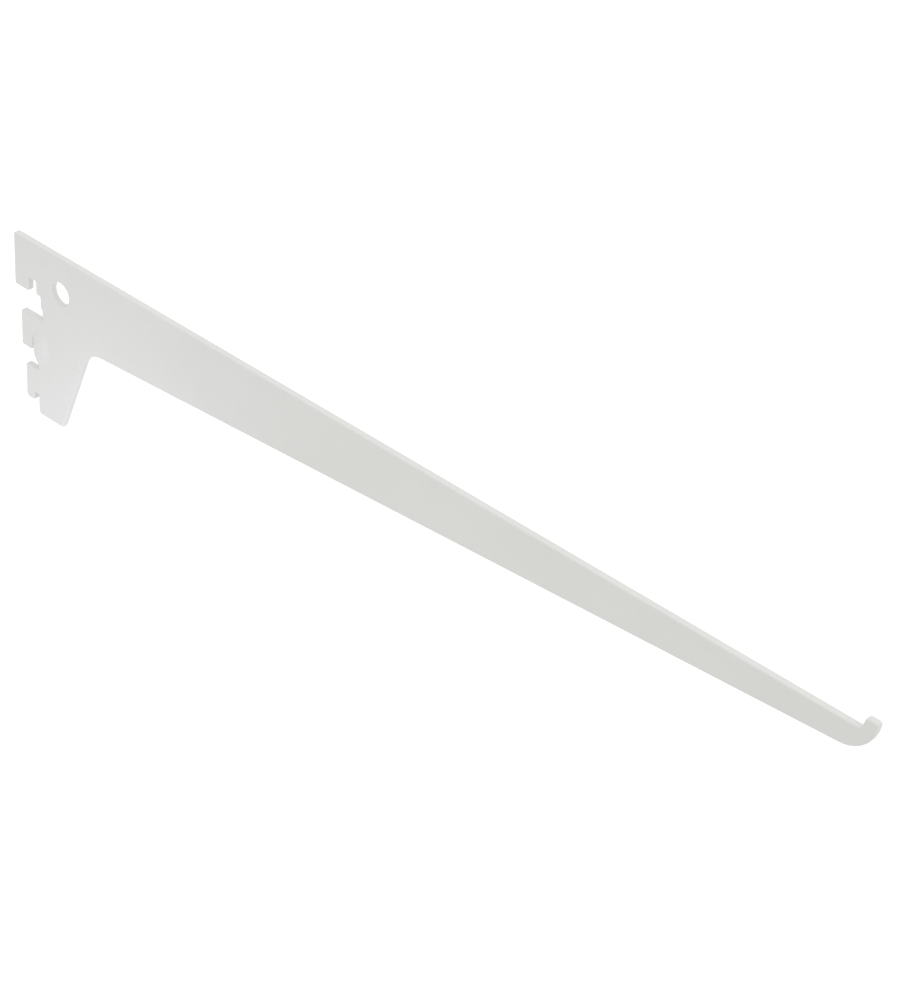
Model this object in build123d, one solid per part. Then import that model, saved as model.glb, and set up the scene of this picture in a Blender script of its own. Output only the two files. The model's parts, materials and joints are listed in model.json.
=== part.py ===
"""Slotted shelf bracket: one flat arm stamped from steel sheet, hung in a slotted rail.

The sheet lies in the XZ plane, centred on Y. X runs from the face of the rail out along the
arm, and Z is up. The origin is on the shelf edge, above the face of the rail, so everything
with a negative X is inside the rail. All sizes are in millimetres.
"""
import os
from math import radians, tan

from build123d import *

# Sheet: steel with its powder coat. The press rolls the edge of its front face over, and
# leaves the back face with a sharper edge.
sheet_thickness = 2.6
front_edge_round = 0.7
back_edge_round = 0.3
corner_round = 1.0
inner_round = 0.6

# A softened edge takes at most this share of an outline corner, and the two edges together
# at most this share of the thickness
corner_share = 0.9
thickness_share = 0.8

# Arm, measured down from the shelf edge to the straight lower edge
arm_reach = 400.0
arm_depth_at_rail = 36.0
arm_depth_at_end = 9.0

# Nose that keeps the shelf from sliding off, and the rounded end below it
nose_rise = 5.0
nose_top_width = 5.0
nose_slope_run = 1.6
nose_top_round = 1.5
nose_end_round = 1.0
nose_foot_round = 1.8
end_round = 15.0
end_lean = 1.7

# Leg that bears on the rail below the hooks
leg_depth = 75.0
leg_foot_width = 13.7
leg_lean = 20.9
leg_inner_round = 11.3
leg_heel_round = 1.5

# Hooks: their seats are one rail pitch apart, and each drops behind the rail's face
first_seat_depth = 16.6
seat_pitch = 25.0
upper_hook_reach = 12.0
upper_hook_drop = 5.9
upper_slot_width = 4.0
middle_hook_reach = 8.9
middle_hook_drop = 6.2
middle_neck_height = 9.3
middle_slot_width = 3.0
lower_hook_reach = 7.0
lower_hook_drop = 3.6
lower_neck_height = 11.4
lower_slot_width = 2.4
lower_hook_round = 1.7

# Notch in the back edge above the middle hook, with a deeper pocket at its foot
notch_drop = 5.5
notch_depth = 2.4
pocket_drop = 10.3
pocket_depth = 1.0

# Bore behind the arm's root
bore_diameter = 9.5
bore_from_rail = 14.1
bore_depth = 15.7

# Bump pressed out of the sheet at the back edge, below the middle hook's seat
bump_height = 2.3
bump_width = 9.6
bump_length = 15.0
bump_centre_from_rail = 1.8
bump_below_seat = 3.4
hollow_share = 0.85


def arm_underside(x):
    """Height of the arm's straight lower edge at a distance from the rail."""
    slope = (arm_depth_at_rail - arm_depth_at_end) / arm_reach
    return slope * x - arm_depth_at_rail


def seat_height(row):
    """Height of a hook's seat, with row 0 at the top."""
    return -(first_seat_depth + row * seat_pitch)


def hook(reach, neck_top, seat, drop, slot_width, back_round):
    """Corners of one hook, from its top edge round its back and tip to the rail's face."""
    tip = seat - drop
    return [
        (-reach, neck_top, corner_round),
        (-reach, tip, back_round),
        (-slot_width, tip, corner_round),
        (-slot_width, seat, inner_round),
        (0, seat, inner_round),
    ]


def knee():
    """Point where the leg's leaning front edge would meet the arm's lower edge."""
    lean = tan(radians(leg_lean))
    slope = (arm_depth_at_rail - arm_depth_at_end) / arm_reach
    rise = (leg_depth - arm_depth_at_rail + slope * leg_foot_width) / (1 - slope * lean)
    return leg_foot_width + lean * rise, rise - leg_depth


def outline():
    """The sheet's outline as corners with their radii, counterclockwise from the top hook."""
    upper_seat, middle_seat, lower_seat = (seat_height(row) for row in range(3))
    middle_top = middle_seat + middle_neck_height
    lower_top = lower_seat + lower_neck_height
    notch_top = upper_seat - notch_drop
    pocket_top = upper_seat - pocket_drop
    pocket_wall = notch_depth + pocket_depth
    knee_x, knee_z = knee()
    nose_top_start = arm_reach - nose_top_width
    end_foot = arm_reach - end_lean
    return [
        *hook(upper_hook_reach, 0, upper_seat, upper_hook_drop, upper_slot_width, corner_round),
        (0, notch_top, corner_round),
        (notch_depth, notch_top, inner_round),
        (notch_depth, pocket_top, corner_round),
        (pocket_wall, pocket_top - pocket_depth, inner_round),
        (pocket_wall, middle_top, inner_round),
        *hook(middle_hook_reach, middle_top, middle_seat, middle_hook_drop, middle_slot_width,
              corner_round),
        (0, lower_top, inner_round),
        *hook(lower_hook_reach, lower_top, lower_seat, lower_hook_drop, lower_slot_width,
              lower_hook_round),
        (0, -leg_depth, leg_heel_round),
        (leg_foot_width, -leg_depth, corner_round),
        (knee_x, knee_z, leg_inner_round),
        (end_foot, arm_underside(end_foot), end_round),
        (arm_reach, nose_rise, nose_end_round),
        (nose_top_start, nose_rise, nose_top_round),
        (nose_top_start - nose_slope_run, 0, nose_foot_round),
    ]


def outline_face():
    """The flat blank without its bore."""
    corners = outline()
    points = [(x, z) for x, z, _ in corners]
    radii = [radius for _, _, radius in corners]
    return Plane.XZ * make_face(FilletPolyline(*points, radius=radii, close=True))


def stamped_sheet(face):
    """The blank with its bore, and with every edge softened by stamping and coating."""
    bore = Plane.XZ * Pos(bore_from_rail, -bore_depth) * Circle(bore_diameter / 2)
    sheet = extrude(face - bore, amount=sheet_thickness / 2, both=True)
    both_rounds = front_edge_round + back_edge_round
    most = min(1, thickness_share * sheet_thickness / both_rounds)
    for side, size in ((0, front_edge_round), (-1, back_edge_round)):
        rim = sheet.faces().filter_by(Axis.Y).sort_by(Axis.Y)[side].edges()
        sheet = fillet(rim, min(most * size, corner_share * corner_round))
    return sheet


def ring_body(height, width, length):
    """A ring about X. Its outside stands proud of the plane Y = 0 by the height given, and
    meets that plane in an oval of the width and length given."""
    side_radius = (width**2 / 4 + height**2) / (2 * height)
    crest_radius = (length**2 / 4 + height**2) / (2 * height)
    ring = Torus(crest_radius - side_radius, side_radius)
    return Pos(0, crest_radius - height, 0) * Rot(0, 90, 0) * ring


def press_bump(sheet, face):
    """Push the bump out of the front face, and leave its hollow in the back face."""
    front, back = -sheet_thickness / 2, sheet_thickness / 2
    middle = seat_height(1) - bump_below_seat
    dome = ring_body(bump_height, bump_width, bump_length)
    hollow = ring_body(*(hollow_share * size for size in (bump_height, bump_width, bump_length)))
    front_half = extrude(face, amount=sheet_thickness / 2 + bump_height)
    raised = Pos(bump_centre_from_rail, front, middle) * dome & front_half
    return sheet + raised - Pos(bump_centre_from_rail, back, middle) * hollow


blank = outline_face()
bracket = press_bump(stamped_sheet(blank), blank)
bracket.label = "bracket"

os.makedirs("parts", exist_ok=True)
export_step(bracket, "parts/bracket.step")
size = bracket.bounding_box().size
print(f"bracket: {size.X:.1f} x {size.Y:.1f} x {size.Z:.1f} mm, {bracket.volume / 1000:.2f} cm3")
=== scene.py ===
# %% [markdown]
# # A stamped shelf bracket, from CAD solid to finished picture
# The real bracket is one flat piece of steel sheet. A press cuts its outline and its round
# bore, pushes one small bump out of its face, and the piece is then coated with white powder
# and baked. The CAD solid already holds the outline at its real size. What it lacks is what
# the hand and the eye notice on the real one: the soft foot of the bump, rounded edges that
# run on over it, and the faint texture of the coat. This lesson takes the outline from the
# CAD solid, so nothing is drawn twice, and builds the finished plate around it.

import json
import math

import bmesh
import bpy
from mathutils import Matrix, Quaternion, Vector


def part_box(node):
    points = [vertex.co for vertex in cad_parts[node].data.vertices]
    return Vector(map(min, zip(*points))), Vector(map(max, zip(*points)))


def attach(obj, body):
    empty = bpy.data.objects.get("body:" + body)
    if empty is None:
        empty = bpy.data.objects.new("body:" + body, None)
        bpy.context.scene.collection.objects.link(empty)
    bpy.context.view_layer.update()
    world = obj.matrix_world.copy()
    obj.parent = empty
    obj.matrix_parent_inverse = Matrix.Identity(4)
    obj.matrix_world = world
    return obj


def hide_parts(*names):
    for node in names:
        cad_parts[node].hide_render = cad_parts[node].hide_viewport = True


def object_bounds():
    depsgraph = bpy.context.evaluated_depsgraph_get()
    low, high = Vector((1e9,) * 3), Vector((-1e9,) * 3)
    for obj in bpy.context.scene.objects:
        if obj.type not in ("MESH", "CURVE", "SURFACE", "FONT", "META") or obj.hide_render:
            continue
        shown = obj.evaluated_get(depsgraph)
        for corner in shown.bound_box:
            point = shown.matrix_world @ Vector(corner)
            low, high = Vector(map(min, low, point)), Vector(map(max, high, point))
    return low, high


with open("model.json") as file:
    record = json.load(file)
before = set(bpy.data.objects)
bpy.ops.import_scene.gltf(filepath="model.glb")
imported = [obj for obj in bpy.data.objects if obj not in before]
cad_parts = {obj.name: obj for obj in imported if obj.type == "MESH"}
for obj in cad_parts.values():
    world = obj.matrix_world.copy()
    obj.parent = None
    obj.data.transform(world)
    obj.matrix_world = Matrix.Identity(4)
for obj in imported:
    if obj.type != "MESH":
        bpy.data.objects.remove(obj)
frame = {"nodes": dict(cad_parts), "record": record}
cad_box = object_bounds()
solid = frame["nodes"]["bracket"]
print("CAD box in metres:", *[[round(x, 4) for x in corner] for corner in cad_box])

# %% [markdown]
# ## Sizes
# The sheet lies upright: X runs out along the arm, Z is up, and Y goes through the sheet. Its
# middle is at Y = 0 and its back face is flat, so the box of the solid gives half the sheet's
# thickness. The bore is a mount in the record, which gives its place and radius. The few sizes
# that can't be read there are named in millimetres. Points that are closer together than
# `weld` count as one point.

# %% Sizes of the sheet and its bore
mm = 0.001
half_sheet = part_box("bracket")[1].y
front, back = -half_sheet, half_sheet
front_round = 0.7 * mm
back_round = 0.3 * mm
weld = 0.02 * mm

bore = next(mount for mount in frame["record"]["mounts"] if mount["name"] == "root_bore")
bore_centre = Vector(bore["pos_m"])
bore_radius = bore["dims"]["r_mm"] * mm
print(f"sheet {2 * half_sheet / mm:.2f} mm thick, bore {2 * bore_radius / mm:.1f} mm across")

# %% [markdown]
# ## The camera
# The photograph looks down on the bracket from the right of its front face, from far away
# through a long lens, so the arm hardly narrows. The camera here stands where a fit of the
# outline to the photograph put it. It is built the same way in every picture: a point to look
# at, a direction to stand off in, a distance, and a small roll about its own axis, because
# the photograph isn't quite level.

# %% Camera
camera_azimuth = math.radians(42.88)
camera_elevation = math.radians(34.46)
camera_roll = math.radians(2.81)
camera_distance = 1.2137
camera_target = Vector((216.13, -1.3, -4.91)) * mm
lens_length = 129.6
sensor_width = 36.0
nearest_seen, farthest_seen = 0.05, 20.0


def away(azimuth, elevation):
    """Unit vector from the object towards a viewer. Azimuth 0 is straight in front."""
    return Vector((
        math.sin(azimuth) * math.cos(elevation),
        -math.cos(azimuth) * math.cos(elevation),
        math.sin(elevation),
    ))


def look(thing, direction, target, distance, roll=0.0):
    """Stand a camera or lamp off from the target, facing it."""
    turn = (-direction).to_track_quat("-Z", "Y")
    thing.rotation_mode = "QUATERNION"
    thing.rotation_quaternion = turn @ Quaternion((0, 0, 1), roll)
    thing.location = target + direction * distance


camera = bpy.data.objects.new("camera", bpy.data.cameras.new("camera"))
camera.data.sensor_width = sensor_width
camera.data.lens = lens_length
camera.data.clip_start, camera.data.clip_end = nearest_seen, farthest_seen
bpy.context.collection.objects.link(camera)
bpy.context.scene.camera = camera
look(camera, away(camera_azimuth, camera_elevation), camera_target, camera_distance, camera_roll)
print("camera at", [round(x, 3) for x in camera.location])

# %% [markdown]
# ## The outline
# A plane across the sheet cuts the CAD solid in one closed outline and one circle. The plane
# lies where the rounded front edge has all but run out and the hollow in the back face hasn't
# begun, so it meets only stamped walls. `bisect_plane` with both sides cleared leaves just the
# cut. Points on a straight stretch come from the solid's triangles, so they are dissolved.

# %% Cut the outline out of the solid
section_depth = 0.63 * mm
straight_angle = math.radians(0.3)
same_point = 0.001 * mm


def cut_outline(source):
    """A bmesh that holds the sheet's outline and its bore as loose edges, at Y = 0."""
    bm = bmesh.new()
    bm.from_mesh(source.data)
    bmesh.ops.remove_doubles(bm, verts=bm.verts, dist=same_point)
    bmesh.ops.bisect_plane(
        bm, geom=bm.verts[:] + bm.edges[:] + bm.faces[:],
        plane_co=(0, front + section_depth, 0), plane_no=(0, 1, 0),
        clear_inner=True, clear_outer=True)
    bmesh.ops.remove_doubles(bm, verts=bm.verts, dist=weld)
    in_line = [v for v in bm.verts if abs(v.calc_edge_angle(0)) < straight_angle]
    bmesh.ops.dissolve_verts(bm, verts=in_line)
    bmesh.ops.scale(bm, vec=(1, 0, 1), verts=bm.verts)
    return bm


plate = cut_outline(solid)
print("outline and bore:", len(plate.verts), "points")

# %% [markdown]
# ## The blank
# One face can't have a hole in it, so the blank is two faces that meet on a line through the
# bore's centre. `triangle_fill` understands holes and fills the outline with triangles. A cut
# adds the line, and every other inner edge is dissolved, which leaves one face on each side.

# %% Fill the blank and give it its thickness
def fill_blank(bm):
    """Two flat faces that meet above and below the bore."""
    bmesh.ops.triangle_fill(bm, edges=bm.edges, normal=(0, -1, 0))
    bmesh.ops.bisect_plane(
        bm, geom=bm.verts[:] + bm.edges[:] + bm.faces[:],
        plane_co=bore_centre, plane_no=(1, 0, 0))
    inner = [e for e in bm.edges if len(e.link_faces) == 2
             and any(abs(v.co.x - bore_centre.x) > weld for v in e.verts)]
    bmesh.ops.dissolve_edges(bm, edges=inner)
    on_the_line = [v for v in bm.verts if len(v.link_edges) == 2 and len(v.link_faces) == 2]
    bmesh.ops.dissolve_verts(bm, verts=on_the_line)
    print("faces of the blank:", len(bm.faces))


def thicken(bm):
    """Extrude the blank from its front face to its back face."""
    bmesh.ops.translate(bm, vec=(0, front, 0), verts=bm.verts)
    grown = bmesh.ops.extrude_face_region(
        bm, geom=bm.faces[:] + bm.edges[:], use_keep_orig=True)["geom"]
    moved = [item for item in grown if isinstance(item, bmesh.types.BMVert)]
    bmesh.ops.translate(bm, vec=(0, back - front, 0), verts=moved)
    bmesh.ops.recalc_face_normals(bm, faces=bm.faces)


fill_blank(plate)
thicken(plate)
print("solid blank:", len(plate.faces), "faces, volume",
      round(plate.calc_volume() / mm**3), "mm3")

# %% [markdown]
# ## Rounded edges
# A press rolls the edge of one face over and leaves the other face with a sharper edge, and
# the baked powder softens both. In the photograph the rolled edge shows as a soft band along
# the shelf edge, where the light runs over from the face to the top. A bevel along every rim
# makes that edge, wider in front than behind. It is done now, before the bump, because the
# two big faces are still free of small points that it would run into. In the tightest corners
# the bevel crowds its points together, and the big face then fills badly between them and
# shows a dark sliver, so crowded points are merged.

# %% Round the rims
rim_angle = math.radians(80)
front_steps = 5
back_steps = 3
crowded = 0.06 * mm


def round_rim(bm, level, size, segments):
    """Bevel the edges between the flat face at Y = level and the stamped walls."""
    rim = [e for e in bm.edges if e.calc_face_angle(0) > rim_angle
           and all(abs(v.co.y - level) < weld for v in e.verts)]
    bmesh.ops.bevel(
        bm, geom=rim, offset=size, offset_type="OFFSET", segments=segments,
        profile=0.5, affect="EDGES", material=-1, clamp_overlap=False)
    print("rim rounded:", len(rim), "edges, now", len(bm.faces), "faces")


round_rim(plate, front, front_round, front_steps)
round_rim(plate, back, back_round, back_steps)
bmesh.ops.dissolve_degenerate(plate, dist=crowded, edges=plate.edges)
print("after the crowded points are merged:", len(plate.faces), "faces")

# %% [markdown]
# ## The pressed bump
# The bump stands proud of the front face at the contact edge, and leaves a hollow behind it.
# A punch never leaves a sharp line at the foot of a bump in a coated sheet, so the dome runs
# out into the flat in a small curve. The face there first needs points to move, and a grid of
# plane cuts gives them, through the walls and rims as well. A cut that grazes a point leaves a
# face with no width, so edges shorter than a hair are merged.

# %% Cut a fine grid where the bump goes
bump_centre = Vector((1.8, 0, -45.0)) * mm
bump_width = 9.6 * mm
bump_length = 15.0 * mm
bump_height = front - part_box("bracket")[0].y
grid_step = 0.5 * mm
patch_margin = 1.2 * mm
hair = 0.002 * mm
x_axis, z_axis = 0, 2


def steps(low, high, step):
    """Evenly spaced places from low to high."""
    count = math.ceil((high - low) / step)
    return [low + (high - low) * i / count for i in range(count + 1)]


def cut_grid(bm, centre, width, length):
    """Slice the sheet along X and Z inside a rectangle around the bump."""
    reach = {x_axis: width / 2 + patch_margin, z_axis: length / 2 + patch_margin}
    wider = {axis: half + patch_margin for axis, half in reach.items()}
    for axis, half in reach.items():
        for side in (-half, half):
            slice_near(bm, axis, centre[axis] + side, centre, wider)
    for axis, half in reach.items():
        for place in steps(centre[axis] - half, centre[axis] + half, grid_step)[1:-1]:
            slice_near(bm, axis, place, centre, reach)


def slice_near(bm, axis, place, centre, reach):
    """Cut the faces around the centre with one plane across X or Z."""
    normal = [0.0, 0.0, 0.0]
    normal[axis] = 1.0
    near = [f for f in bm.faces if overlaps(f, centre, reach)]
    geom = dict.fromkeys(item for f in near for item in [f, *f.edges, *f.verts])
    point = centre.copy()
    point[axis] = place
    bmesh.ops.bisect_plane(bm, geom=list(geom), plane_co=point, plane_no=normal)


def overlaps(face, centre, reach):
    """True if a face's box reaches into the rectangle of half sizes `reach`."""
    for axis, half in reach.items():
        places = [v.co[axis] for v in face.verts]
        if max(places) <= centre[axis] - half + weld or min(places) >= centre[axis] + half - weld:
            return False
    return True


cut_grid(plate, bump_centre, bump_width, bump_length)
bmesh.ops.dissolve_degenerate(plate, dist=hair, edges=plate.edges)
print("grid cut, now", len(plate.faces), "faces")

# %% [markdown]
# ## The press
# A real press pushes the sheet straight through its thickness, and here every point moves
# straight forward in the same way. The height is that of a low dome, round in both directions.
# Points on the front follow the dome, points on the back follow a slightly smaller one, which
# makes the hollow, and points between them share the two. Near its foot the dome turns into a
# curve that meets the flat without a line.

# %% Press the bump
foot_softness = 0.9 * mm
hollow_share = 0.85


def dome(x, z, share=1.0):
    """Height of the dome over the flat at a place. `share` makes it smaller all round."""
    across = (x - bump_centre.x) / (bump_width / 2 * share)
    along = (z - bump_centre.z) / (bump_length / 2 * share)
    rise = bump_height * share * (1 - across**2 - along**2)
    if rise >= foot_softness:
        return rise
    return max(rise + foot_softness, 0)**2 / (4 * foot_softness)


def press(bm):
    """Move every point of the sheet forward, by the dome in front and by the hollow behind."""
    for v in bm.verts:
        share_of_front = (back - v.co.y) / (back - front)
        in_front = dome(v.co.x, v.co.z)
        behind = dome(v.co.x, v.co.z, hollow_share)
        v.co.y -= share_of_front * in_front + (1 - share_of_front) * behind


press(plate)

# %% [markdown]
# ## The powder coat
# Powder coat is paint that melts and flows a little in the oven. It keeps a very fine orange
# peel, a millimetre or two from crest to crest, and a semi-matt sheen. The colour isn't pure
# white but a little grey and warm. It changes by about a percent from place to place, which
# the eye doesn't see as a pattern but misses when it isn't there. A noise texture seldom leaves
# the middle of its range, so `spread` stretches that middle. All of it reads Object
# coordinates, so it stays on the metal from every side.

# %% Powder coat
coat_colour = (0.745, 0.75, 0.722)
tone_change = 0.012
tone_size = 40 * mm
roughness_low, roughness_high = 0.40, 0.48
gloss_size = 6 * mm
noise_low, noise_high = 0.3, 0.7
peel_size = 1.8 * mm
peel_height = 0.004 * mm
grain_size = 0.35 * mm
grain_height = 0.0008 * mm


def noise(tree, coordinates, size, detail):
    """A noise texture whose patches are about `size` metres across."""
    texture = tree.nodes.new("ShaderNodeTexNoise")
    texture.inputs["Scale"].default_value = 1 / size
    texture.inputs["Detail"].default_value = detail
    tree.links.new(coordinates, texture.inputs["Vector"])
    return texture.outputs["Fac"]


def spread(tree, source, low, high):
    """Map a noise's middle range to values from low to high."""
    ranged = tree.nodes.new("ShaderNodeMapRange")
    ranged.inputs["From Min"].default_value = noise_low
    ranged.inputs["From Max"].default_value = noise_high
    ranged.inputs["To Min"].default_value = low
    ranged.inputs["To Max"].default_value = high
    tree.links.new(source, ranged.inputs["Value"])
    return ranged.outputs["Result"]


def relief(tree, source, height, under=None):
    """A bump node for a texture of the given height in metres, over another bump."""
    bump = tree.nodes.new("ShaderNodeBump")
    bump.inputs["Strength"].default_value = 1.0
    bump.inputs["Distance"].default_value = height
    tree.links.new(source, bump.inputs["Height"])
    if under is not None:
        tree.links.new(under, bump.inputs["Normal"])
    return bump.outputs["Normal"]


def powder_coat():
    """White baked powder coat, semi-matt, with a fine orange peel."""
    material = bpy.data.materials.new("powder_coat")
    material.use_nodes = True
    tree = material.node_tree
    shader = tree.nodes["Principled BSDF"]
    place = tree.nodes.new("ShaderNodeTexCoord").outputs["Object"]

    tone = tree.nodes.new("ShaderNodeMix")
    tone.data_type = "RGBA"
    tone.inputs["A"].default_value = (*[c * (1 - tone_change) for c in coat_colour], 1)
    tone.inputs["B"].default_value = (*[c * (1 + tone_change) for c in coat_colour], 1)
    patches = spread(tree, noise(tree, place, tone_size, detail=2), 0, 1)
    tree.links.new(patches, tone.inputs["Factor"])
    tree.links.new(tone.outputs["Result"], shader.inputs["Base Color"])

    gloss = spread(tree, noise(tree, place, gloss_size, detail=3), roughness_low, roughness_high)
    tree.links.new(gloss, shader.inputs["Roughness"])

    peel = relief(tree, noise(tree, place, peel_size, detail=2), peel_height)
    skin = relief(tree, noise(tree, place, grain_size, detail=1), grain_height, peel)
    tree.links.new(skin, shader.inputs["Normal"])
    return material


coat = powder_coat()
print("material", coat.name, "with", len(coat.node_tree.nodes), "nodes")

# %% [markdown]
# ## The finished plate
# The mesh becomes one object, and stands for the CAD solid. Smooth shading alone would bend
# the light over the big flat faces, because each of their corners shares its normal with a
# rounded rim. The Weighted Normal modifier gives the large faces the say, so they stay flat
# and only the rims and the bump look round.

# %% Make the plate one object
def finished_plate(bm):
    """Turn the bmesh into the object that stands for the CAD solid."""
    for face in bm.faces:
        face.smooth = True
    mesh = bpy.data.meshes.new("bracket_plate")
    bm.to_mesh(mesh)
    bm.free()
    mesh.materials.append(coat)
    piece = bpy.data.objects.new("bracket_plate", mesh)
    bpy.context.collection.objects.link(piece)
    weighted = piece.modifiers.new("flat faces stay flat", "WEIGHTED_NORMAL")
    weighted.keep_sharp = True
    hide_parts("bracket")
    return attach(piece, "root")


bracket_plate = finished_plate(plate)
print("bracket_plate:", len(bracket_plate.data.polygons), "faces")

# %% [markdown]
# ## Floor and background
# The photograph's background is plain white. A white floor lies a little below the leg, and
# it is lifted towards white only for the camera and for reflections, so it sends no extra
# light onto the plate. The floor takes the plate's shadow, but the plate is thin and the light
# comes from all sides, so the shadow is too faint to see on white, as in the photograph.

# %% Floor and world
floor_drop = 60 * mm
floor_reach = 4.0
floor_colour = 0.80
floor_lift = 0.35


def seen_directly(tree):
    """1 for rays from the camera and for those that gloss or glass sends on, otherwise 0."""
    path = tree.nodes.new("ShaderNodeLightPath")
    total = path.outputs["Is Camera Ray"]
    for name in ("Is Glossy Ray", "Is Transmission Ray"):
        either = tree.nodes.new("ShaderNodeMath")
        either.operation = "MAXIMUM"
        tree.links.new(total, either.inputs[0])
        tree.links.new(path.outputs[name], either.inputs[1])
        total = either.outputs[0]
    return total


def white_floor():
    """Matt white, with a glow that only the camera and reflections see."""
    material = bpy.data.materials.new("floor")
    material.use_nodes = True
    tree = material.node_tree
    shader = tree.nodes["Principled BSDF"]
    shader.inputs["Base Color"].default_value = (floor_colour,) * 3 + (1,)
    shader.inputs["Roughness"].default_value = 1.0
    shader.inputs["Specular IOR Level"].default_value = 0.0
    shader.inputs["Emission Color"].default_value = (1, 1, 1, 1)
    lift = tree.nodes.new("ShaderNodeMath")
    lift.operation = "MULTIPLY"
    lift.inputs[1].default_value = floor_lift
    tree.links.new(seen_directly(tree), lift.inputs[0])
    tree.links.new(lift.outputs[0], shader.inputs["Emission Strength"])
    return material


def lay_floor(height):
    """A square floor around the object."""
    bm = bmesh.new()
    bmesh.ops.create_grid(bm, x_segments=1, y_segments=1, size=floor_reach)
    bmesh.ops.translate(bm, vec=(0, 0, height), verts=bm.verts)
    mesh = bpy.data.meshes.new("floor")
    bm.to_mesh(mesh)
    bm.free()
    mesh.materials.append(white_floor())
    floor = bpy.data.objects.new("floor", mesh)
    bpy.context.collection.objects.link(floor)


def studio_world(strength):
    """Soft light from all round, and plain white where the camera looks past the floor."""
    world = bpy.data.worlds.new("studio")
    world.use_nodes = True
    tree = world.node_tree
    background = tree.nodes["Background"]
    background.inputs["Color"].default_value = (1, 1, 1, 1)
    level = tree.nodes.new("ShaderNodeMapRange")
    level.inputs["To Min"].default_value = strength
    level.inputs["To Max"].default_value = 1.0
    tree.links.new(seen_directly(tree), level.inputs["Value"])
    tree.links.new(level.outputs["Result"], background.inputs["Strength"])
    bpy.context.scene.world = world


world_level = 0.81
lay_floor(cad_box[0].z - floor_drop)
studio_world(world_level)

# %% [markdown]
# ## Lamps
# The photograph was lit softly from all sides, a little more from above and from the right,
# which is why its top edge is the brightest part of the arm. The head is brighter than the
# arm, and the foot of the leg is brighter and cooler still, as a white card close in front of
# it would make it. Two large lamps and two small near ones do that. A lamp's light falls off
# with the square of its distance, so the near ones need very little power.

# %% Lamps
arm_middle = Vector((120, 0, -20)) * mm
leg_middle = Vector((0, 0, -60)) * mm
leg_foot = Vector((5, 0, -80)) * mm
neutral = (1.0, 1.0, 1.0)
cool = (0.79, 0.75, 0.96)


def soft_lamp(name, target, azimuth, elevation, distance, size, watts, colour=neutral):
    """A square lamp that faces the target."""
    data = bpy.data.lights.new(name, "AREA")
    data.shape = "SQUARE"
    data.size = size
    data.energy = watts
    data.color = colour
    lamp = bpy.data.objects.new(name, data)
    bpy.context.collection.objects.link(lamp)
    look(lamp, away(math.radians(azimuth), math.radians(elevation)), target, distance)
    return lamp


lamps = [
    soft_lamp("lamp_above", arm_middle, azimuth=0, elevation=80,
              distance=1.4, size=1.2, watts=3.8),
    soft_lamp("lamp_right", arm_middle, azimuth=100, elevation=20,
              distance=1.5, size=1.0, watts=2.15),
    soft_lamp("lamp_low", leg_middle, azimuth=20, elevation=-8,
              distance=0.35, size=0.20, watts=0.08),
    soft_lamp("lamp_foot", leg_foot, azimuth=40, elevation=-10,
              distance=0.08, size=0.06, watts=0.0163, colour=cool),
]
for lamp in lamps:
    print(lamp.name, round(lamp.data.energy, 3), "W")

# %% [markdown]
# ## Colour
# The Standard view shows colours as they are written.

# %% View
bpy.context.scene.view_settings.view_transform = "Standard"
